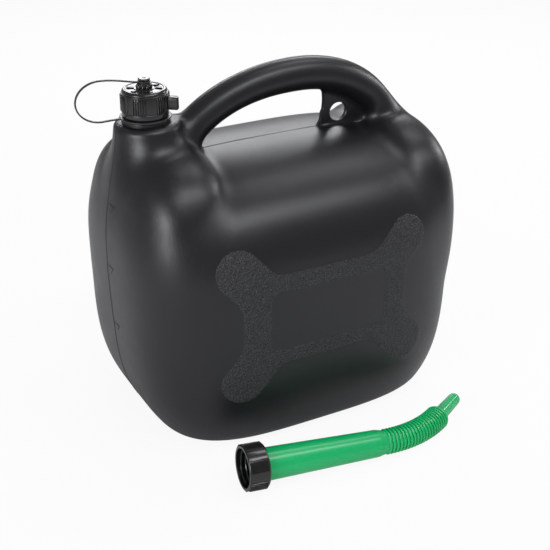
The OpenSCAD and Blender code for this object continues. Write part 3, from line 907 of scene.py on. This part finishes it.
def makeButton():
    b = button
    low, head = b["low"], b["headZ"]
    top, r = head + b["headT"], b["headR"]
    stem = rounded([(0.0, low), (b["shankR"] - 0.5, low), (b["shankR"], low + 0.5),
                    (b["shankR"], head + 0.2)], 0.2, 3, False)
    crown = rounded([(b["shankR"], head), (r - 0.5, head), (r, head + 0.5), (r - 0.2, head + 1.2),
                     (r - 1.4, top), (1.6, top), (1.2, top - 0.35), (0.0, top - 0.35)],
                    0.5, 4, False)
    shape = turned(stem + crown, 96, False, b["lobes"], b["lobeDepth"], b["lobeAbove"])
    knob = makePiece("tetherKnob", [shape], capBlack, Matrix.Translation((cap["x"], 0, 0)))
    settle(knob, "button", "black_cap", "tether_button")


tether = {
    "t": 1.2, "d": 39.5, "boreR": 15.3, "z": 258.6, "eyeZ": 285.6, "eyeR": 5.0, "eyeBore": 2.8,
    "strapW": 2.0, "reach": 53.0, "rise": 3.5, "turn": -6.0, "startX": 4.5, "sink": 2.0,
    "steps": 72,
    "over": 0.3, "round": 0.8,    # shares of the strap at which its arc begins and ends
}


def strapLine(t):
    # the strap's middle in the side view, from the eyelet round to the neck ring
    s = tether
    h = (s["eyeZ"] + s["t"] + s["rise"] - s["z"]) / 2
    w = 1.2 * h
    midX, midZ = -s["reach"] + w, s["z"] + h
    startX, over, roundTo = s["startX"], s["over"], s["round"]
    if t < over:
        q = t / over
        low = s["eyeZ"] + s["t"] / 2
        rise = (midZ + h - low) * math.sin(math.pi / 2 * q) ** 1.3
        return np.array([-startX + (midX + startX) * q, low + rise])
    if t < roundTo:
        a = math.radians(90 + 180 * (t - over) / (roundTo - over))
        return np.array([midX + w * math.cos(a), midZ + h * math.sin(a)])
    q = (t - roundTo) / (1.0 - roundTo)
    return np.array([midX - (midX + s["d"] / 2 - s["sink"]) * q,
                     s["z"] + s["t"] / 2 * math.sin(math.pi / 2 * q)])


def makeTether():
    s = tether
    half, wide = s["t"] / 2, s["strapW"] / 2
    section = rounded([(-half, -wide), (half, -wide), (half, wide), (-half, wide)], 0.45)
    points = []
    steps = np.linspace(0.0, 1.0, s["steps"])
    for t in steps:
        d = strapLine(min(t + 0.01, 1.0)) - strapLine(max(t - 0.01, 0.0))
        n = np.array([-d[1], d[0]]) / np.linalg.norm(d)
        here = strapLine(t)
        for a, b in section:
            points.append((here[0] + n[0] * a, b, here[1] + n[1] * a))
    rows, columns = len(steps), len(section)
    faces = gridFaces(rows, columns, False, True)
    faces += [tuple(reversed(range(columns))),
              tuple((rows - 1) * columns + k for k in range(columns))]
    z, top, r = s["z"], s["z"] + s["t"], s["d"] / 2
    ring = turned(rounded([(s["boreR"], z), (r, z), (r, top), (s["boreR"], top)], 0.45), 96)
    z, top, r = s["eyeZ"], s["eyeZ"] + s["t"], s["eyeR"]
    eye = turned(rounded([(s["eyeBore"], z), (r, z), (r, top), (s["eyeBore"], top)], 0.4), 48)
    loop = moved((points, faces), Matrix.Rotation(math.radians(s["turn"]), 4, "Z"))
    strap = makePiece("tetherStrap", [loop, ring, eye], tetherGrey,
                      Matrix.Translation((cap["x"], 0, 0)))
    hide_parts("tether")
    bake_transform(strap)


makeCap()
makeGasket("capGasket", "cap_gasket", "cap", gasketR, neck["mouthR"], neck["topZ"],
           neck["topZ"] + gasketT, Matrix.Translation((cap["x"], 0, 0)))
makeButton()
makeTether()
print("cap and tether made")


# the pouring spout, in millimetres along its axis from the ring's mouth
spout = {
    "x": -96.5, "y": -138.0, "turn": -7.0, "ringD": 37.5, "ringH": 17.0, "ringEnd": 2.4,
    "tubeEnd": 119.0, "r1": 12.8, "r2": 10.7, "wall": 1.5,
    "flangeR": 15.0, "seat": 14.3, "flangeT": 2.0,
    "rings": 21, "pitch": 3.0, "bellowsR": 10.3, "groove": 1.3, "bead": 1.0,
    "bend": 37.0, "nozzleLen": 36.0, "nozzleR1": 6.0, "nozzleR2": 5.3,
    "flutes": 12, "fluteDepth": 0.35, "segments": 96,
    "threadR": 0.8, "threadUp": 3.2, "threadPitch": 4.0, "threadTurns": 1.6,
}
spout["bellowsLen"] = spout["rings"] * spout["pitch"]
spout["bendR"] = spout["bellowsLen"] / math.radians(spout["bend"])
spout["tilt"] = math.atan((spout["ringD"] / 2 - spout["bellowsR"]) / (
    spout["tubeEnd"] + spout["bendR"] * math.sin(math.radians(spout["bend"])) - spout["ringH"]))
spoutPlace = (Matrix.Translation((spout["x"], spout["y"], spout["ringD"] / 2 * math.cos(spout["tilt"])
                                  + spout["ringH"] * math.sin(spout["tilt"])))
              @ Matrix.Rotation(math.radians(spout["turn"]), 4, "Z")
              @ Matrix.Rotation(math.pi / 2 + spout["tilt"], 4, "Y"))


def onAxis(s):
    # the axis point at a length s and the sideways direction there
    inBend = min(max(s - spout["tubeEnd"], 0.0), spout["bellowsLen"])
    a = inBend / spout["bendR"]
    past = s - spout["tubeEnd"] - inBend
    y = spout["bendR"] * (1 - math.cos(a)) + past * math.sin(a)
    z = spout["tubeEnd"] + spout["bendR"] * math.sin(a) + past * math.cos(a)
    return Vector((0.0, y, z)), Vector((0.0, math.cos(a), -math.sin(a)))


def makeSpout():
    # the profile is pairs of length along the axis and radius, outside first and then the bore
    s = spout
    start, end = s["tubeEnd"], s["tubeEnd"] + s["bellowsLen"]
    tip = end + s["nozzleLen"]
    low = s["bellowsR"] - s["groove"]
    face, behind = s["seat"] - s["flangeT"], s["ringH"] + 2
    r1, r2, tipR1, tipR2, wall = s["r1"], s["r2"], s["nozzleR1"], s["nozzleR2"], s["wall"]
    outer = rounded([(face, s["flangeR"]), (s["seat"], s["flangeR"]), (s["seat"], r1),
                     (behind, r1), (start - 6.5, r2 + 0.1), (start - 2.5, low + 0.9),
                     (start, low + 0.5)], 0.8, 5, False)
    along = [(v, low) for v in np.linspace(start + 1.5, end - 1.0, 60)]
    nozzle = rounded([(end + 0.4, low + 0.6), (end + 2.6, tipR1 + 1.2), (end + 3.6, tipR1),
                      (tip - 1.5, tipR2), (tip, tipR2 - 0.9)], 1.2, 5, False)
    thin = low - wall
    back = [(tip - 0.4, tipR2 - wall), (end + 3.0, tipR1 - wall), (end - 1.0, thin)]
    back += [(v, thin) for v in np.linspace(end - 2.0, start + 1.0, 40)]
    back += [(start - 6.0, r2 - wall), (behind, r1 - wall), (face, r1 - wall)]
    profile = list(outer) + along + list(nozzle) + back
    segments = s["segments"]
    points = []
    count = len(outer) + len(along) + len(nozzle)
    for i, (v, r) in enumerate(profile):
        middle, side = onAxis(v)
        fluted = min(max((v - end - 4.0) / 3.0, 0.0), 1.0) if i < count else 0.0
        fluted *= min(max((tip - 0.6 - v) / 2.0, 0.0), 1.0)
        for k in range(segments):
            a = 2 * math.pi * k / segments
            here = r - fluted * s["fluteDepth"] * (0.5 - 0.5 * math.cos(s["flutes"] * a))
            across = Vector((here * math.cos(a), 0, 0))
            points.append(tuple(middle + side * here * math.sin(a) + across))
    faces = gridFaces(len(profile), segments, True, True)
    tube = makePiece("spoutTube", [(points, faces)], spoutGreen, spoutPlace)
    settle(tube, "can", "green_polyethylene", "pour_spout")
    first, last = start + s["pitch"] / 2, end - s["pitch"] / 2
    line = [spoutPlace @ onAxis(v)[0] for v in np.linspace(first, last, 120)]
    rings = grow("bellowsRings", curveOf("bellowsLine", [line]), trees["rings"],
                 {"Rings": s["rings"], "Radius": (s["bellowsR"] - s["bead"]) * mm,
                  "Bead": s["bead"] * mm}, spoutGreen)
    settle(rings, "can", "green_polyethylene")


def makeSpoutRing():
    s = spout
    r, h, bore, hole = cap["skirtR"], s["ringH"], cap["boreR"], s["r1"] + 0.3
    profile = rounded([(bore, 0.0), (r - 0.6, 0.0), (r, 0.6), (r, h - 1.2), (r - 1.2, h),
                       (hole, h), (hole, h - s["ringEnd"]), (bore, h - s["ringEnd"])], 0.4)
    shell = makePiece("spoutRing", [turned(profile, 120)], capBlack, spoutPlace)
    settle(shell, "spout_ring", "black_cap", "spout_ring")
    depth = cap["ribDepth"]
    rib = makePiece("ringRib", [ribBar(r, depth, ribWidth, depth, h - 2 * depth)], capBlack)
    metres = Matrix.Scale(mm, 4) @ spoutPlace @ Matrix.Scale(1 / mm, 4)
    ribs = grow("ringRibs", rib, trees["ribs"], ribValues(), capBlack, metres)
    settle(ribs, "spout_ring", "black_cap")
    turns = helix(bore, s["threadUp"], s["threadPitch"], s["threadTurns"])
    line = [spoutPlace @ Vector(p) for p in turns]
    thread = grow("ringThread", curveOf("ringThreadLine", [line]), trees["bead"],
                  {"Radius": s["threadR"] * mm, "Sides": 8}, capBlack)
    settle(thread, "spout_ring", "black_cap")


makeSpout()
makeSpoutRing()
makeGasket("spoutGasket", "spout_gasket", "can", gasketR, spout["r1"],
           spout["seat"] - spout["flangeT"] - gasketT, spout["seat"] - spout["flangeT"],
           spoutPlace)
print("spout made")


# floor, lights and world
studio = {
    "floor": 6.0,
    "paper": 0.82,          # grey of the floor to the lamps
    "paperSeen": 0.92,      # how much of the floor the camera sees as plain white
    "world": 0.28,
    "worldShine": 0.05,     # added to the world where a gloss mirrors it
    "away": 1.4,            # distance of the lamps from the point they aim at
    "aim": (0.0, 0.0, 0.15),
    "lampColour": (0.97, 0.985, 1.0),
    # name, turn from straight in front, height angle, width, height, watts
    "lamps": (
        ("front", 13.0, 56.0, 1.25, 0.28, 8.5),
        ("left", -67.0, 13.0, 0.55, 0.5, 8.5),
        ("right", 95.0, 19.0, 0.3, 0.35, 3.6),
        ("top", 105.0, 62.0, 0.4, 0.4, 2.2),
        ("back", 155.0, 27.0, 1.0, 0.35, 6.5),
    ),
}


def makeFloor():
    half = studio["floor"] / 2
    mesh = bpy.data.meshes.new("floor")
    mesh.from_pydata([(-half, -half, 0), (half, -half, 0), (half, half, 0), (-half, half, 0)],
                     [], [(0, 1, 2, 3)])
    floor = bpy.data.objects.new("floor", mesh)
    bpy.context.scene.collection.objects.link(floor)
    paper = bpy.data.materials.new("paper")
    paper.use_nodes = True
    paper.node_tree.nodes.clear()
    graph = Graph(paper.node_tree)
    grey = studio["paper"]
    plain = graph.add("ShaderNodeBsdfDiffuse", {}, {"Color": (grey, grey, grey, 1.0)})
    glow = graph.add("ShaderNodeEmission", {}, {"Color": (1.0, 1.0, 1.0, 1.0), "Strength": 1.0})
    seen = graph.add("ShaderNodeLightPath", {}, (), "Is Camera Ray")
    mix = graph.add("ShaderNodeMixShader", {},
                    {0: seen * studio["paperSeen"], 1: plain, 2: glow})
    leave = paper.node_tree.nodes.new("ShaderNodeOutputMaterial")
    paper.node_tree.links.new(mix.socket, leave.inputs["Surface"])
    mesh.materials.append(paper)


def makeLamps():
    for name, turn, lift, width, height, watts in studio["lamps"]:
        data = bpy.data.lights.new(name, "AREA")
        data.shape, data.size, data.size_y, data.energy = "RECTANGLE", width, height, watts
        data.color = studio["lampColour"]
        lamp = bpy.data.objects.new(name, data)
        bpy.context.scene.collection.objects.link(lamp)
        turn, lift = math.radians(turn), math.radians(lift)
        outward = Vector((math.sin(turn) * math.cos(lift), -math.cos(turn) * math.cos(lift),
                          math.sin(lift)))
        lamp.location = Vector(studio["aim"]) + outward * studio["away"]
        lamp.rotation_euler = (-outward).to_track_quat("-Z", "Y").to_euler()


def makeWorld():
    world = bpy.data.worlds.new("world")
    world.use_nodes = True
    bpy.context.scene.world = world
    world.node_tree.nodes.clear()
    graph = Graph(world.node_tree)
    seen = graph.add("ShaderNodeLightPath", {}, (), "Is Camera Ray")
    glossy = Wire(graph, seen.socket.node.outputs["Is Glossy Ray"])
    strength = studio["world"] + (1.0 - studio["world"]) * seen + studio["worldShine"] * glossy
    sky = graph.add("ShaderNodeBackground", {},
                    {"Color": (1.0, 1.0, 1.0, 1.0), "Strength": strength})
    leave = world.node_tree.nodes.new("ShaderNodeOutputWorld")
    world.node_tree.links.new(sky.socket, leave.inputs["Surface"])
    bpy.context.scene.view_settings.view_transform = "Standard"


makeFloor()
makeLamps()
makeWorld()
print("studio made")
